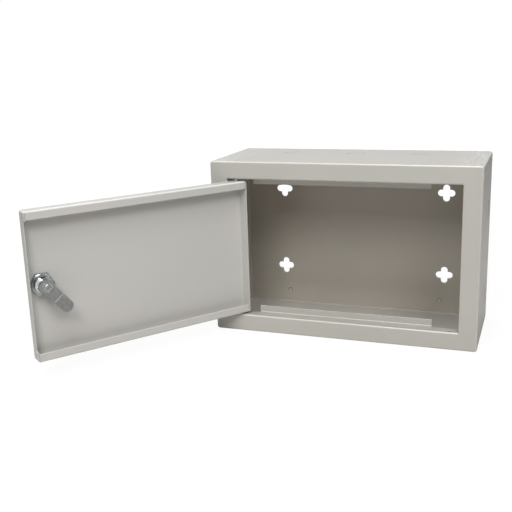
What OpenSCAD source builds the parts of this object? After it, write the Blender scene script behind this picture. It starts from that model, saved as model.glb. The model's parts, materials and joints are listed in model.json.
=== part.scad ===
// Lockable steel wall enclosure with a pin-hinged door, shown with the door open.
// Origin: centre of the four fixing holes on the wall plane. +Z is up and the front faces -Y.

/* [Enclosure body] */
// Width of the body
body_w = 300; // [260:5:500]
// Height of the body
body_h = 200; // [180:5:400]
// Depth of the body from the wall to the front frame
body_d = 120; // [100:5:250]
// Thickness of the body sheet
body_t = 1.2; // [0.8:0.1:1.6]
// Inner radius of the body's folds
body_bend = 0.8; // [0.5:0.1:1.5]
// Inner radius of the ground seams that run front to back
body_seam = 1.8; // [1.6:0.1:4]
// Width of the front frame round the opening
frame_w = 20; // [18:0.5:30]
// Depth of the side lips and the stops behind the front frame
lip_d = 17; // [17:0.5:18]
// Depth of the upper and lower lips on either side of their stops
lip_low = 13.5; // [12:0.5:14.5]
// Width of the rear flange that lies against the wall
rear_flange = 24; // [15:1:30]
// Width of the open mitres in the rear flanges
mitre_gap = 0.6; // [0.3:0.1:1.5]
// Width of the relief notch in the corners of the opening
relief_w = 1.6; // [0.8:0.1:2]
// Depth of the relief notch in the corners of the opening
relief_d = 8; // [4:0.5:9]

/* [Door stops] */
// Length of the stop folded from the upper and lower lips
stop_len = 200; // [150:5:205]
// Height of the stop inside the opening
stop_h = 7.5; // [5:0.5:10]
// How far the upper stop lies to the left of the middle
stop_shift = 4; // [0:1:5]

/* [Fixing holes] */
// Distance between the fixing holes across
fix_pitch_x = 200; // [150:5:220]
// Distance between the fixing holes upwards
fix_pitch_z = 100; // [80:5:120]
// Length of each arm-to-arm slot of a cross-shaped hole
cross_len = 20; // [16:0.5:26]
// Width of the slots of a cross-shaped hole
cross_w = 8; // [6:0.5:10]
// Play between the back panel and the folds round it
panel_play = 0.05; // [0.02:0.01:0.5]

/* [Spot welds] */
// Diameter of a spot weld's dimple
weld_d = 5; // [3:0.5:7]
// Depth of a spot weld's dimple
weld_depth = 0.4; // [0.1:0.05:0.4]
// Distance of the spot welds from the outside of the body
weld_inset = 17; // [8:0.5:20]
// Distance between the spot welds along the flange
weld_pitch = 190; // [100:10:230]

/* [Knock-outs] */
// Diameter of a knock-out
knock_d = 22.5; // [16:0.5:32]
// Distance of the knock-outs from the wall
knock_from_wall = 42; // [35:1:50]
// Distance between the knock-outs in the top and the bottom
knock_pitch = 75; // [40:5:90]
// Height of the lower knock-out in each side, above the body's underside
knock_low = 40; // [30:1:60]
// Distance between the two knock-outs in each side
knock_rise = 100; // [60:5:110]
// How far a knock-out is sheared inwards
knock_shear = 0.3; // [0.15:0.05:0.5]
// Width of the uncut tabs that hold a knock-out
knock_tab = 3; // [2:0.5:5]

/* [Door] */
// Gap between the door and the opening
door_gap = 2.5; // [2:0.1:3.5]
// Thickness of the door sheet
door_t = 1.2; // [0.8:0.1:1.4]
// Inner radius of the door's folds
door_bend = 0.8; // [0.5:0.1:1.2]
// Depth of the door's flanges, outer face to edge
door_d = 15; // [13:0.1:15]
// Depth of the free flange between its two ends, low enough for the cam
flange_low = 10; // [8:0.5:12]
// Radius where the free flange rises to its full depth
flange_rise_r = 2.5; // [1:0.5:2.5]
// Inner radius of the ground seams in the door's corners
door_seam = 1.1; // [1:0.1:2]
// Width of the returns at the top and the bottom of the door
return_w = 9; // [6:0.5:14]
// Radius of the trimmed corners of the side flanges
trim_r = 2; // [1:0.5:5]
// Width of the butt seams between the returns and the side flanges
seam_gap = 0.3; // [0.1:0.1:0.6]
// How far the door stands open
door_open = 126; // [90:1:126]

/* [Hinge] */
// Distance of the hinge pin from the side of the opening
hinge_in_x = 9.5; // [9:0.1:12]
// Distance of the hinge pin behind the front frame
hinge_in_y = 5.1; // [4.5:0.1:5.1]
// Diameter of the hinge pins
pin_d = 4.5; // [3.5:0.1:5]
// Running clearance of a pin in the lip, on the radius
pin_play = 0.05; // [0.02:0.01:0.1]
// Clearance of a pin in the door's flange, on the radius
pin_seat = 0.02; // [0.01:0.01:0.04]
// Diameter of a pin's head
pin_head_d = 6; // [5.5:0.1:6.2]
// Thickness of a pin's head
pin_head_t = 1.4; // [1:0.1:2.5]
// Length of pin beyond its clip
pin_tail = 1.4; // [1:0.1:3]
// Outer diameter of a retaining clip
clip_d = 7; // [6.4:0.1:7.2]
// Thickness of a retaining clip
clip_t = 0.6; // [0.4:0.1:1]
// Depth of the clip's groove, on the radius
groove_depth = 0.5; // [0.3:0.05:0.7]
// Play between a clip and the lip
clip_play = 0.3; // [0.1:0.05:0.6]
// Outer diameter of the spacer under the door
spacer_d = 7.5; // [6.5:0.1:8]
// Play of the door on its spacer
spacer_play = 0.1; // [0.05:0.05:0.3]

/* [Lock] */
// Distance of the lock from the door's free edge
lock_inset = 15; // [15:0.5:24]
// Diameter of the threaded case
case_d = 16; // [15:0.1:16.4]
// Width across the flats of the case
case_flats = 15; // [14.6:0.1:15.4]
// Length of the case behind the door's outer face
case_len = 15.2; // [15.2:0.1:15.6]
// Clearance of the case in the door and in the nut, on the radius
case_play = 0.05; // [0.02:0.01:0.15]
// Diameter of the case's head
head_d = 22; // [19:0.5:26]
// Thickness of the case's head
head_t = 2; // [1.6:0.1:3]
// Bevel round the case's head
head_bevel = 0.7; // [0.3:0.1:1]
// Width across the flats of the nut
nut_flats = 22; // [20:0.5:22]
// Thickness of the nut
nut_t = 5; // [3:0.1:7]
// Diameter of the keyed plug
plug_d = 12; // [11.6:0.1:12.2]
// Running clearance of the plug in the case, on the radius
plug_play = 0.05; // [0.02:0.01:0.1]
// How far the rim of the plug stands out round it
rim_w = 1; // [0.6:0.1:1.5]
// Thickness of the rim
rim_t = 0.9; // [0.6:0.1:1.2]
// Recess of the plug's face in the case's head
face_recess = 0.1; // [0.05:0.05:0.3]
// Width of the keyway
keyway_w = 1.9; // [1.4:0.1:2.4]
// Height of the keyway
keyway_h = 8.2; // [6:0.1:8.6]
// Depth of the keyway behind the door's outer face
keyway_d = 9.6; // [9.5:0.1:9.8]
// Width across the square tail of the plug
tail_w = 7; // [6.4:0.1:7.2]
// Clearance of the plates on the tail
tail_play = 0.04; // [0.02:0.01:0.1]

/* [Wafers] */
// Thickness of a wafer
wafer_t = 1; // [0.7:0.05:1.1]
// Distance between the wafers
wafer_pitch = 1.9; // [1.6:0.05:1.95]
// Depth of the first wafer behind the door's outer face
wafer_start = 0.8; // [0.5:0.1:0.9]
// Width of a wafer
wafer_w = 6.3; // [5.5:0.1:6.6]
// Clearance of a wafer in its slot, all round
wafer_play = 0.06; // [0.03:0.01:0.1]
// Width of a wafer's window
window_w = 3; // [2.6:0.1:3.4]
// Height of a wafer's window
window_h = 9; // [8.8:0.1:9.4]
// Width of the lug that a spring pushes on
lug_w = 1.4; // [1.1:0.1:1.5]
// Thickness of the wire of a wafer's spring
spring_wire = 0.2; // [0.12:0.02:0.24]
// Length of a wafer's spring
spring_len = 2.2; // [1.6:0.1:2.4]

/* [Cam] */
// Turn of the core from its locked stop, as shown
cam_turned = 129; // [0:1:180]
// Thickness of the stop plate
plate_t = 0.8; // [0.8:0.1:1.2]
// Diameter of the stop plate
plate_d = 15.4; // [15:0.1:15.8]
// Height of the tab on the stop plate
tab_h = 1.2; // [0.8:0.1:1.6]
// Half of the angle that the tab takes up
tab_half = 12; // [8:1:18]
// Free angle beyond each stop
stop_play = 1; // [0.5:0.5:2]
// Clearance between the stacked pieces of the core and the case
stack_play = 0.1; // [0.05:0.01:0.15]
// Thickness of the cam
cam_t = 1.8; // [1.6:0.1:2.4]
// Radius of the cam's round head
cam_head_r = 8; // [7:0.1:8.5]
// Width of the cam's lever
cam_w = 13; // [10:0.5:14]
// Gap between the tip of the cam and the side wall when it is locked
cam_gap = 0.7; // [0.5:0.1:2]
// Distance of the cam's crank from the lock's axis
crank_at = 17.2; // [16:0.1:17.3]
// Length of the slope of the crank
crank_run = 0.8; // [0.6:0.1:2]
// Gap between the locked cam and the edge of the lip
catch_gap = 0.5; // [0.3:0.1:1]
// Outer diameter of the spring washer
washer_d = 10.6; // [9:0.1:12]
// Thickness of the spring washer
washer_t = 0.7; // [0.6:0.1:1.2]
// Diameter of the cam's screw
screw_d = 4; // [3:0.5:4]
// Diameter of the screw's head
screw_head_d = 7.4; // [6.5:0.1:8.4]
// Height of the screw's head
screw_head_t = 2.1; // [1.8:0.1:3]
// Length of the screw in the plug
screw_len = 6; // [5:0.5:6.5]

/* [Hidden] */
$fn = 64;
cut = 1; // how far a cutting shape runs past what it cuts
weld = 1; // how far joined stretches of one sheet overlap

// Body
body_fold = body_bend + body_t; // outer radius of a fold
body_corner = body_seam + body_t; // outer radius of a ground seam
open_w = body_w - 2 * frame_w;
open_h = body_h - 2 * frame_w;
front_y = -body_d;
relief_from = body_fold + 0.5; // depth at which a notch starts, just behind the fold
lip_y = front_y + lip_d; // rear edge of the side lips and rear face of the stops
panel_w = body_w - 2 * body_fold - 2 * panel_play; // clear of the rear folds
panel_h = body_h - 2 * body_fold - 2 * panel_play;

// Door, as closed
door_w = open_w - 2 * door_gap;
door_h = open_h - 2 * door_gap;
door_fold = door_bend + door_t;
door_corner = door_seam + door_t;
door_y = front_y + door_d; // edge of the door's flanges
return_from = -door_w / 2 + door_t + seam_gap;
return_to = door_w / 2 - door_t - seam_gap;
flange_low_h = door_h - 2 * return_w - 2; // height of the lowered part of the free flange

// Hinge
hinge_x = open_w / 2 - hinge_in_x;
hinge_y = front_y + hinge_in_y;
pin_r = pin_d / 2;
groove_z = open_h / 2 + body_t + clip_play;
pin_top = groove_z + clip_t + pin_tail;

// Lock: heights are measured inwards from the door's outer face
lock_x = door_w / 2 - lock_inset;
plug_r = plug_d / 2;
bore_r = plug_r + plug_play;
plate_z = case_len + stack_play;
cam_z = plate_z + plate_t;
washer_z = cam_z + cam_t;
screw_z = washer_z + washer_t;
tail_z = washer_z - stack_play;
cam_len = body_w / 2 - body_t - cam_gap - lock_x;
crank_rise = lip_d + catch_gap - cam_z;
wafer_r = plug_r - 0.1; // a wafer lies just inside the plug
wafer_cuts = [0.3, -0.2, 0.4, 0, -0.3]; // how far each wafer's window is offset
lug_h = 1.2;
spring_r = wafer_t / 2 - spring_wire / 2 - 0.05; // mean radius of a spring
coil_turns = 3;
coil_steps = 8; // sections in one turn of a spring
coil_sides = 4; // sides of a spring's wire

// ---- Outlines -------------------------------------------------------------------------------

// Rectangle with round corners, centred
module round_rect(w, h, r) {
  square([w - 2 * r, h], center = true);
  square([w, h - 2 * r], center = true);
  for (sx = [-1, 1], sy = [-1, 1])
    translate([sx * (w / 2 - r), sy * (h / 2 - r)]) circle(r);
}

// Slot with round ends, centred, along X
module slot_2d(len, w) {
  square([len - w, w], center = true);
  for (s = [-1, 1]) translate([s * (len - w) / 2, 0]) circle(w / 2);
}

// Section of a tray: its front corners are folded round, and its rear corners too if rear_r is set
module tray_2d(w, d, front_r, rear_r) {
  translate([-w / 2, front_r]) square([w, d - front_r - rear_r]);
  translate([-w / 2 + front_r, 0]) square([w - 2 * front_r, d - rear_r]);
  if (rear_r > 0) translate([-w / 2 + rear_r, 0]) square([w - 2 * rear_r, d]);
  for (s = [-1, 1]) {
    translate([s * (w / 2 - front_r), front_r]) circle(front_r);
    if (rear_r > 0) translate([s * (w / 2 - rear_r), d - rear_r]) circle(rear_r);
  }
}

// Section of a folded sheet: legs a along X and b along Y, the fold's outside at the origin
module angle_2d(a, b, t, bend) {
  r = bend + t;
  translate([r, 0]) square([a - r, t]);
  translate([0, r]) square([t, b - r]);
  intersection() {
    square(r);
    translate([r, r]) difference() {
      circle(r);
      circle(bend);
    }
  }
}

// ---- Solids that several sub-parts use ------------------------------------------------------

// Block with round upright corners and folded edges: front at z = 0, depth along +Z
module tray_block(w, h, d, corner_r, front_r, rear_r = 0) {
  rotate([90, 0, 90]) linear_extrude(w - 2 * corner_r, center = true) tray_2d(h, d, front_r, rear_r);
  rotate([90, 0, 0]) linear_extrude(h - 2 * corner_r, center = true) tray_2d(w, d, front_r, rear_r);
  for (sx = [-1, 1], sy = [-1, 1])
    translate([sx * (w / 2 - corner_r), sy * (h / 2 - corner_r), 0])
      rotate_extrude() intersection() {
        tray_2d(2 * corner_r, d, front_r, rear_r);
        square([corner_r, d]);
      }
}

// Stands a shape made along +Z on the plane at y, with its depth running towards the wall
module from_front(y) {
  translate([0, y, 0]) rotate([-90, 0, 0]) children();
}

// Strip of folded sheet along X whose fold lies at height z, opening backwards and upwards
module edge_fold(from, to, y, z, depth, rise, t, bend) {
  translate([from, y, z]) rotate([90, 0, 90]) linear_extrude(to - from) angle_2d(depth, rise, t, bend);
}

// The same strip turned about its fold, opening forwards and downwards
module turned_fold(from, to, y, z, depth, drop, t, bend) {
  translate([from, y, z]) rotate([90, 0, 90])
    linear_extrude(to - from) rotate(180) angle_2d(depth, drop, t, bend);
}

// Repeats a shape above and below the middle
module up_and_down() {
  for (s = [0, 1]) mirror([0, 0, s]) children();
}

// Moves a shape drawn for the closed door to where the open door holds it
module on_door() {
  translate([-hinge_x, hinge_y, 0]) rotate([0, 0, -door_open]) translate([hinge_x, -hinge_y, 0]) children();
}

// Lock's own frame: +Z runs inwards from the door's outer face and +X points to the free edge
module in_lock() {
  on_door() translate([lock_x, 0, 0]) from_front(front_y) children();
}

// Frame of the core, which has turned from its locked stop
module in_core() {
  in_lock() rotate([0, 0, cam_turned]) children();
}

// ---- Enclosure body -------------------------------------------------------------------------

// Round sheared patch of a knock-out, with its uncut tabs along X: depth runs along +Z
module knock_patch(d, depth) {
  linear_extrude(depth) difference() {
    circle(d / 2);
    for (s = [-1, 1]) translate([s * d / 2, 0]) square([knock_tab, knock_tab], center = true);
  }
}

// Places a patch at every knock-out: +Z of the patch points into the body from the outer face
module at_knock_outs() {
  up_and_down() for (i = [-1, 0, 1])
    translate([i * knock_pitch, -knock_from_wall, body_h / 2]) rotate([180, 0, 0]) children();
  for (s = [-1, 1], i = [0, 1])
    translate([s * body_w / 2, -knock_from_wall, -body_h / 2 + knock_low + i * knock_rise])
      rotate([0, -s * 90, 0]) rotate([0, 0, 90]) children();
}

// The walls, the front frame and the rear flanges, all round
module body_walls() {
  difference() {
    from_front(front_y) tray_block(body_w, body_h, body_d, body_corner, body_fold, body_fold);
    from_front(front_y + body_t)
      tray_block(body_w - 2 * body_t, body_h - 2 * body_t, body_d - 2 * body_t, body_seam, body_bend, body_bend);
    for (grow = [[1, 0], [0, 1]])
      translate([0, front_y, 0])
        cube([open_w + 2 * body_fold * grow[0], 4 * body_t, open_h + 2 * body_fold * grow[1]], center = true);
    cube([body_w - 2 * rear_flange, 4 * body_t, body_h - 2 * rear_flange], center = true);
    rear_mitres();
  }
}

// The open mitre in each corner of the rear flanges
module rear_mitres() {
  reach = (rear_flange - body_corner) * sqrt(2);
  for (sx = [-1, 1], sz = [-1, 1])
    translate([sx * (body_w / 2 - rear_flange), 0, sz * (body_h / 2 - rear_flange)])
      rotate([0, -45 * sx * sz, 0]) scale([sx, 1, 1])
        translate([-cut, -2 * body_t, -mitre_gap / 2]) cube([reach + cut, 3 * body_t, mitre_gap]);
}

// The side lips, which the ends of the upper and lower lips butt against
module side_lips() {
  reach = open_h / 2 + body_t;
  for (a = [-90, 90]) rotate([0, a, 0])
    edge_fold(-reach, reach, front_y, open_w / 2, lip_d, body_fold + weld, body_t, body_bend);
}

// Upper lip with its corner notches, and the door stop folded down from a tab on its rear edge
module stop_lip(shift) {
  z = open_h / 2;
  difference() {
    edge_fold(-open_w / 2, open_w / 2, front_y, z, lip_low, body_fold + weld, body_t, body_bend);
    for (s = [-1, 1])
      translate([s * open_w / 2, front_y + (relief_from + relief_d) / 2, z])
        cube([2 * relief_w, relief_d - relief_from, 4 * body_t], center = true);
  }
  turned_fold(-stop_len / 2 - shift, stop_len / 2 - shift, lip_y, z + body_t,
              lip_d - lip_low + weld, stop_h + body_t, body_t, body_bend);
}

module body_shell() {
  color("gainsboro") difference() {
    union() {
      body_walls();
      side_lips();
      stop_lip(stop_shift);
      mirror([0, 0, 1]) stop_lip(0);
      at_knock_outs() translate([0, 0, body_t]) knock_patch(knock_d - 2 * knock_shear, knock_shear);
    }
    at_knock_outs() translate([0, 0, -cut]) knock_patch(knock_d, knock_shear + cut);
    for (s = [-1, 1]) up_and_down()
      translate([s * hinge_x, hinge_y, open_h / 2 - cut]) cylinder(h = body_t + 2 * cut, r = pin_r + pin_play);
  }
}

// Fixing holes and spot welds of the back panel
module back_panel() {
  color("gainsboro") from_front(-2 * body_t) difference() {
    linear_extrude(body_t) difference() {
      round_rect(panel_w, panel_h, body_seam);
      for (sx = [-1, 1], sz = [-1, 1])
        translate([sx * fix_pitch_x / 2, sz * fix_pitch_z / 2]) {
          slot_2d(cross_len, cross_w);
          rotate(90) slot_2d(cross_len, cross_w);
        }
    }
    for (sx = [-1, 1], sz = [-1, 1])
      translate([sx * weld_pitch / 2, sz * (body_h / 2 - weld_inset), -cut])
        cylinder(h = weld_depth + cut, d = weld_d);
  }
}

module hinge_spacer() {
  color("silver") translate([-hinge_x, hinge_y, -open_h / 2]) difference() {
    cylinder(h = door_gap - spacer_play, d = spacer_d);
    translate([0, 0, -cut]) cylinder(h = door_gap + 2 * cut, r = pin_r + pin_play);
  }
}

// ---- Door -----------------------------------------------------------------------------------

// Open pan of the door with plain flanges on four sides
module door_pan() {
  difference() {
    from_front(front_y) tray_block(door_w, door_h, door_d, door_corner, door_fold);
    from_front(front_y + door_t)
      tray_block(door_w - 2 * door_t, door_h - 2 * door_t, door_d, door_seam, door_bend);
    up_and_down() translate([return_from, door_y - door_fold, door_h / 2 - 2 * door_t])
      cube([return_to - return_from, door_fold + cut, 3 * door_t]);
  }
}

// Lowers the free flange between its ends, so that the locked cam passes over it
module flange_gap() {
  reach = door_d + 2 * flange_rise_r - flange_low;
  translate([door_w / 2 - 2 * door_t, front_y + flange_low + reach / 2, 0])
    rotate([90, 0, 90]) linear_extrude(3 * door_t) round_rect(reach, flange_low_h, flange_rise_r);
}

// Rounds the corners of a side flange that reaches from x = from to x = to
module corner_trim(from, to) {
  up_and_down() translate([from, door_y - trim_r, door_h / 2 - trim_r])
    rotate([90, 0, 90]) linear_extrude(to - from) difference() {
      square(trim_r + cut);
      circle(trim_r);
    }
}

// Hole for the lock's case, with its two flats
module lock_hole() {
  translate([lock_x, 0, 0]) from_front(front_y - cut) linear_extrude(door_t + 2 * cut) intersection() {
    circle(case_d / 2 + case_play);
    square([2 * case_d, case_flats + 2 * case_play], center = true);
  }
}

module door_panel() {
  color("gainsboro") on_door() difference() {
    union() {
      door_pan();
      up_and_down() turned_fold(return_from, return_to, door_y, door_h / 2,
                                door_fold + weld, return_w, door_t, door_bend);
    }
    flange_gap();
    corner_trim(return_to + seam_gap / 2, door_w / 2 + cut);
    corner_trim(-door_w / 2 - cut, return_from - seam_gap / 2);
    lock_hole();
    translate([-hinge_x, hinge_y, -door_h]) cylinder(h = 2 * door_h, r = pin_r + pin_seat);
  }
}

// Headed pin that stands up through the door's flange and the lip
module hinge_pin() {
  color("silver") on_door() translate([-hinge_x, hinge_y, 0]) difference() {
    union() {
      translate([0, 0, door_h / 2 - door_t - pin_head_t]) cylinder(h = pin_head_t, d = pin_head_d);
      translate([0, 0, door_h / 2 - door_t - weld / 2]) cylinder(h = pin_top - door_h / 2 + door_t + weld / 2, r = pin_r);
    }
    translate([0, 0, groove_z]) difference() {
      cylinder(h = clip_t, r = pin_r + cut);
      translate([0, 0, -cut]) cylinder(h = clip_t + 2 * cut, r = pin_r - groove_depth);
    }
  }
}

// Open ring that snaps into the pin's groove
module pin_clip() {
  mouth = 2 * (pin_r - groove_depth) * 0.8; // the ring grips more than half of the groove
  color("dimgray") on_door() translate([-hinge_x, hinge_y, groove_z]) difference() {
    cylinder(h = clip_t, d = clip_d);
    translate([0, 0, -cut]) cylinder(h = clip_t + 2 * cut, r = pin_r - groove_depth);
    translate([0, -mouth / 2, -cut]) cube([clip_d, mouth, clip_t + 2 * cut]);
  }
}

module upper_hinge_pin() hinge_pin();
module lower_hinge_pin() mirror([0, 0, 1]) hinge_pin();
module upper_pin_clip() pin_clip();
module lower_pin_clip() mirror([0, 0, 1]) pin_clip();

// ---- Lock case ------------------------------------------------------------------------------

// Sector of a disc between two angles, as a 2-D outline that reaches out to radius r
module sector_2d(from, to, r) {
  steps = 8;
  polygon(concat([[0, 0]], [for (i = [0:steps]) let (a = from + (to - from) * i / steps) 2 * r * [cos(a), sin(a)]]));
}

module lock_housing() {
  color("silver") in_lock() difference() {
    union() {
      rotate_extrude() polygon([
        [0, -head_t], [head_d / 2 - head_bevel, -head_t], [head_d / 2, -head_t + head_bevel],
        [head_d / 2, 0], [0, 0]
      ]);
      translate([0, 0, -head_t / 2]) linear_extrude(case_len + head_t / 2) intersection() {
        circle(case_d / 2);
        square([2 * case_d, case_flats], center = true);
      }
    }
    translate([0, 0, -head_t - cut]) cylinder(h = head_t + case_len + 2 * cut, r = bore_r);
    translate([0, 0, -head_t - cut])
      cylinder(h = rim_t + face_recess + 2 * stack_play + cut, r = plug_r + rim_w + plug_play);
    // step that the stop plate's tab travels in
    translate([0, 0, case_len - tab_h - stack_play]) linear_extrude(tab_h + stack_play + cut)
      sector_2d(180 - tab_half - stop_play, 360 + tab_half + stop_play, case_d);
    // channels that the wafers drop into when the core is locked
    for (s = [-1, 1]) translate([-wafer_w / 2 - wafer_play, s * bore_r - 0.6, wafer_start - wafer_play])
      cube([wafer_w + 2 * wafer_play, 1.2, 5 * wafer_pitch]);
  }
}

module lock_nut() {
  top = door_t + nut_t;
  corner_r = nut_flats / sqrt(3);
  color("silver") in_lock() difference() {
    intersection() {
      translate([0, 0, door_t]) cylinder(h = nut_t, r = corner_r, $fn = 6);
      translate([0, 0, door_t]) cylinder(h = nut_t, r1 = nut_flats / 2 + 2 * nut_t, r2 = nut_flats / 2);
      translate([0, 0, door_t]) cylinder(h = nut_t, r1 = nut_flats / 2 + 0.4, r2 = nut_flats / 2 + 2 * nut_t);
    }
    translate([0, 0, door_t - cut]) cylinder(h = nut_t + 2 * cut, r = case_d / 2 + case_play);
  }
}

// ---- Lock core ------------------------------------------------------------------------------

module square_tail(play, h) {
  linear_extrude(h) square(tail_w + 2 * play, center = true);
}

// Slot of one wafer in the plug, with the pocket of its spring
module wafer_slot(z) {
  pocket = lug_h / 2 + spring_len + 2 * wafer_play;
  translate([0, 0, z - wafer_play]) linear_extrude(wafer_t + 2 * wafer_play) {
    square([wafer_w + 2 * wafer_play, 2 * plug_d], center = true);
    translate([0, -lug_h / 2 - 0.5]) square([wafer_w / 2 + lug_w + wafer_play, lug_h / 2 + 0.5 + pocket]);
  }
}

module lock_plug() {
  color("silver") in_core() difference() {
    union() {
      translate([0, 0, -head_t + face_recess]) cylinder(h = rim_t, r = plug_r + rim_w);
      translate([0, 0, -head_t + face_recess]) cylinder(h = head_t - face_recess + case_len, r = plug_r);
      translate([0, 0, case_len - weld]) square_tail(0, tail_z - case_len + weld);
    }
    translate([-keyway_w / 2, -keyway_h / 2, -head_t - cut]) cube([keyway_w, keyway_h, head_t + cut + keyway_d]);
    for (i = [0:4]) wafer_slot(wafer_start + i * wafer_pitch);
    translate([0, 0, tail_z - screw_len]) cylinder(h = screw_len + cut, r = screw_d / 2 + pin_seat);
  }
}

// Wafer i: a plate with a window for the key and a lug for its spring
module wafer(i) {
  color("goldenrod") in_core() translate([0, 0, wafer_start + i * wafer_pitch])
    linear_extrude(wafer_t) difference() {
      union() {
        intersection() {
          circle(wafer_r);
          square([wafer_w, 2 * wafer_r], center = true);
        }
        translate([0, -lug_h / 2]) square([wafer_w / 2 + lug_w, lug_h]);
      }
      translate([0, wafer_cuts[i]]) square([window_w, window_h], center = true);
    }
}

module wafer_1() wafer(0);
module wafer_2() wafer(1);
module wafer_3() wafer(2);
module wafer_4() wafer(3);
module wafer_5() wafer(4);

// Point of section k, side j, on the wire of a coil that rises along Y
function coil_point(k, j, r, wire, rise) =
  let (a = 360 * k / coil_steps, b = 360 * j / coil_sides, reach = r + wire / 2 * cos(b))
  [reach * cos(a), rise * k / (coil_steps * coil_turns) + wire / 2 * sin(b), reach * sin(a)];

// Coil of round wire with its ends closed flat
module coil(r, wire, rise) {
  last = coil_steps * coil_turns;
  points = [for (k = [0:last], j = [0:coil_sides - 1]) coil_point(k, j, r, wire, rise)];
  walls = [for (k = [0:last - 1], j = [0:coil_sides - 1])
    let (n = (j + 1) % coil_sides, p = k * coil_sides) [p + j, p + coil_sides + j, p + coil_sides + n, p + n]];
  start = [for (j = [0:coil_sides - 1]) j];
  end = [for (j = [coil_sides - 1:-1:0]) last * coil_sides + j];
  polyhedron(points, concat(walls, [start, end]));
}

module wafer_springs() {
  foot = lug_h / 2 + wafer_play + spring_wire / 2;
  color("silver") in_core() for (i = [0:4])
    translate([wafer_w / 2 + lug_w / 2, foot, wafer_start + i * wafer_pitch + wafer_t / 2])
      coil(spring_r, spring_wire, spring_len - spring_wire - wafer_play);
}

// Disc on the tail whose tab meets the ends of the step in the case
module stop_plate() {
  color("silver") in_core() translate([0, 0, plate_z]) difference() {
    union() {
      cylinder(h = plate_t, d = plate_d);
      translate([0, 0, -tab_h]) linear_extrude(tab_h + plate_t / 2) intersection() {
        difference() {
          circle(plate_d / 2);
          circle(bore_r + stack_play);
        }
        sector_2d(180 - tab_half, 180 + tab_half, plate_d);
      }
    }
    translate([0, 0, -cut]) square_tail(tail_play, plate_t + 2 * cut);
  }
}

// Outline of the cam: a round head and a lever with a round tip
module cam_outline() {
  circle(cam_head_r);
  translate([0, -cam_w / 2]) square([cam_len - cam_w / 2, cam_w]);
  translate([cam_len - cam_w / 2, 0]) circle(cam_w / 2);
}

// Side of the cam: flat, then cranked inwards to clear the lip
module cam_side() {
  from = crank_at - crank_run;
  polygon([
    [-cam_head_r - cut, 0], [from, 0], [crank_at, crank_rise], [cam_len + cut, crank_rise],
    [cam_len + cut, crank_rise + cam_t], [crank_at, crank_rise + cam_t], [from, cam_t],
    [-cam_head_r - cut, cam_t]
  ]);
}

module lock_cam() {
  color("darkgray") in_core() translate([0, 0, cam_z]) difference() {
    intersection() {
      translate([0, 0, -cut]) linear_extrude(crank_rise + cam_t + 2 * cut) cam_outline();
      rotate([90, 0, 0]) linear_extrude(4 * cam_head_r, center = true) cam_side();
    }
    translate([0, 0, -cut]) square_tail(tail_play, cam_t + 2 * cut);
  }
}

// Split spring washer, pressed flat
module cam_washer() {
  color("silver") in_core() translate([0, 0, washer_z]) difference() {
    cylinder(h = washer_t, d = washer_d);
    translate([0, 0, -cut]) cylinder(h = washer_t + 2 * cut, r = screw_d / 2 + pin_play);
    translate([0, -washer_t / 2, -cut]) cube([washer_d, washer_t, washer_t + 2 * cut]);
  }
}

// Pan-head screw with a cross recess
module cam_screw() {
  r = screw_head_d / 2;
  recess_w = screw_head_d / 7;
  color("silver") in_core() translate([0, 0, screw_z]) difference() {
    union() {
      rotate_extrude() intersection() {
        square([r, screw_head_t]);
        union() {
          square([r, screw_head_t / 2]);
          square([r - screw_head_t / 2, screw_head_t]);
          translate([r - screw_head_t / 2, screw_head_t / 2]) circle(screw_head_t / 2);
        }
      }
      translate([0, 0, tail_z - screw_z - screw_len + stack_play]) cylinder(h = screw_z - tail_z + screw_len, r = screw_d / 2);
    }
    for (a = [0, 90]) rotate([0, 0, a]) translate([-r / 2, -recess_w / 2, screw_head_t / 2])
      cube([r, recess_w, screw_head_t]);
  }
}

body_shell();
back_panel();
hinge_spacer();
door_panel();
upper_hinge_pin();
lower_hinge_pin();
upper_pin_clip();
lower_pin_clip();
lock_housing();
lock_nut();
lock_plug();
wafer_1();
wafer_2();
wafer_3();
wafer_4();
wafer_5();
wafer_springs();
stop_plate();
lock_cam();
cam_washer();
cam_screw();
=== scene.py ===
"""Dresses the folded steel wall enclosure and its cam-lock door, and sets up the studio."""

from __future__ import annotations

import json
import logging
import math
from dataclasses import dataclass, field
from enum import Enum

import bmesh
import bpy
from mathutils import Euler, Matrix, Vector

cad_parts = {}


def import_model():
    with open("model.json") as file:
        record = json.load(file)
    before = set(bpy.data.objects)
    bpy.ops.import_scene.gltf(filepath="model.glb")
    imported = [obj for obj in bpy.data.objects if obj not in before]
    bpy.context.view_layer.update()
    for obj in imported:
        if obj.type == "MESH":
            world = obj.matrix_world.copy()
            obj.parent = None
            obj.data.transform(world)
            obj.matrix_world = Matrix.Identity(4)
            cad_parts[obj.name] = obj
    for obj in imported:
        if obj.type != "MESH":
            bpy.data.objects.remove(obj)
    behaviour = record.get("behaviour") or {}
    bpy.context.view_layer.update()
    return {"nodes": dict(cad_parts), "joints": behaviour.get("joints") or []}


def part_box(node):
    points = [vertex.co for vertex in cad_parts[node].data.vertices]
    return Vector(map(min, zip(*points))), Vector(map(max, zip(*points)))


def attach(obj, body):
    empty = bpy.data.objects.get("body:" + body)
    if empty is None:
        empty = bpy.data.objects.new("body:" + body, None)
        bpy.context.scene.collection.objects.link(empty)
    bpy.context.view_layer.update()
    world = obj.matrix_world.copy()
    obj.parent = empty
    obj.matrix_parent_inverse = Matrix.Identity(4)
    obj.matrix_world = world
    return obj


MM = 0.001
MIRRORED_SKY = 0.7  # how bright the world is in reflections
MIRRORED_FLOOR = 0.05  # how bright the floor's white is in reflections
PALEST = 0.95  # linear level that no paint goes past
RED_SHARE = 0.42  # part of a grey's warmth that raises its red, while the rest lowers its blue
NODE_STEP = 180  # how far apart nodes lie in the editor
NOISE_TURN = 12  # degrees that the scratches' noise is turned by, off its own cells
NOISE_STRETCH = 0.08  # how slowly that noise changes along the scratches
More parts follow.
